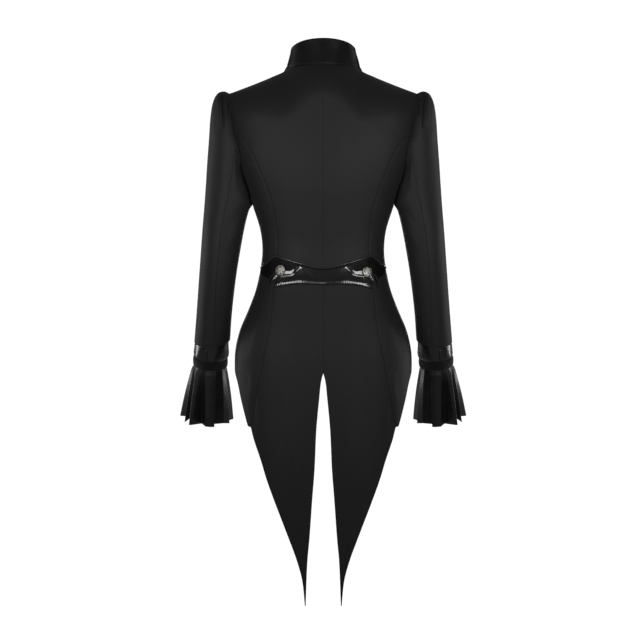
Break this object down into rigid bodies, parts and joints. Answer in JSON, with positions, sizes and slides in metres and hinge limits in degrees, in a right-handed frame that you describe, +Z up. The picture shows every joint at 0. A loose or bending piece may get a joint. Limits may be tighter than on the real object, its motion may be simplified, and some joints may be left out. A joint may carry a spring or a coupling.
{
  "type": "tailcoat",
  "caption": "Woman's black tailcoat worn with no figure: high stand collar, puffed sleeve heads, leather yoke and buttoned half belt, pleated leather cuff frills and long pointed tails.",
  "frame": {"origin": "between the shoulders, level with the sides of the neck, where the coat rests on its wearer", "axes": "+Z up, -Y the way the wearer faces, +X to the wearer's left"},
  "size_m": [0.6168, 0.2854, 1.2209],
  "materials": {
    "suiting": "matte",
    "smooth_leather": "satin",
    "patent_leather": "gloss",
    "ribbon": "matte",
    "old_silver": "satin"
  },
  "bodies": {
    "root": {"back_bodice_left": "suiting", "back_bodice_right": "suiting", "side_back_left": "suiting", "side_back_right": "suiting", "side_front_left": "suiting", "side_front_right": "suiting", "front_left": "suiting", "front_right": "suiting", "tail_back_left": "suiting", "tail_back_right": "suiting", "tail_side_left": "suiting", "tail_side_right": "suiting", "upper_sleeve_left": "suiting", "upper_sleeve_right": "suiting", "under_sleeve_left": "suiting", "under_sleeve_right": "suiting", "collar": "smooth_leather", "waist_yoke": "smooth_leather", "waist_piping": "patent_leather", "half_belt": "patent_leather", "cuff_band_left": "patent_leather", "cuff_band_right": "patent_leather", "cuff_tab_left": "patent_leather", "cuff_tab_right": "patent_leather", "cuff_ribbon_left": "ribbon", "cuff_ribbon_right": "ribbon", "cuff_frill_left": "patent_leather", "cuff_frill_right": "patent_leather", "belt_button_left": "old_silver", "belt_button_right": "old_silver", "front_button_1": "old_silver", "front_button_2": "old_silver", "front_button_3": "old_silver", "front_button_4": "old_silver", "front_button_5": "old_silver", "front_button_6": "old_silver"}
  },
  "joints": []
}
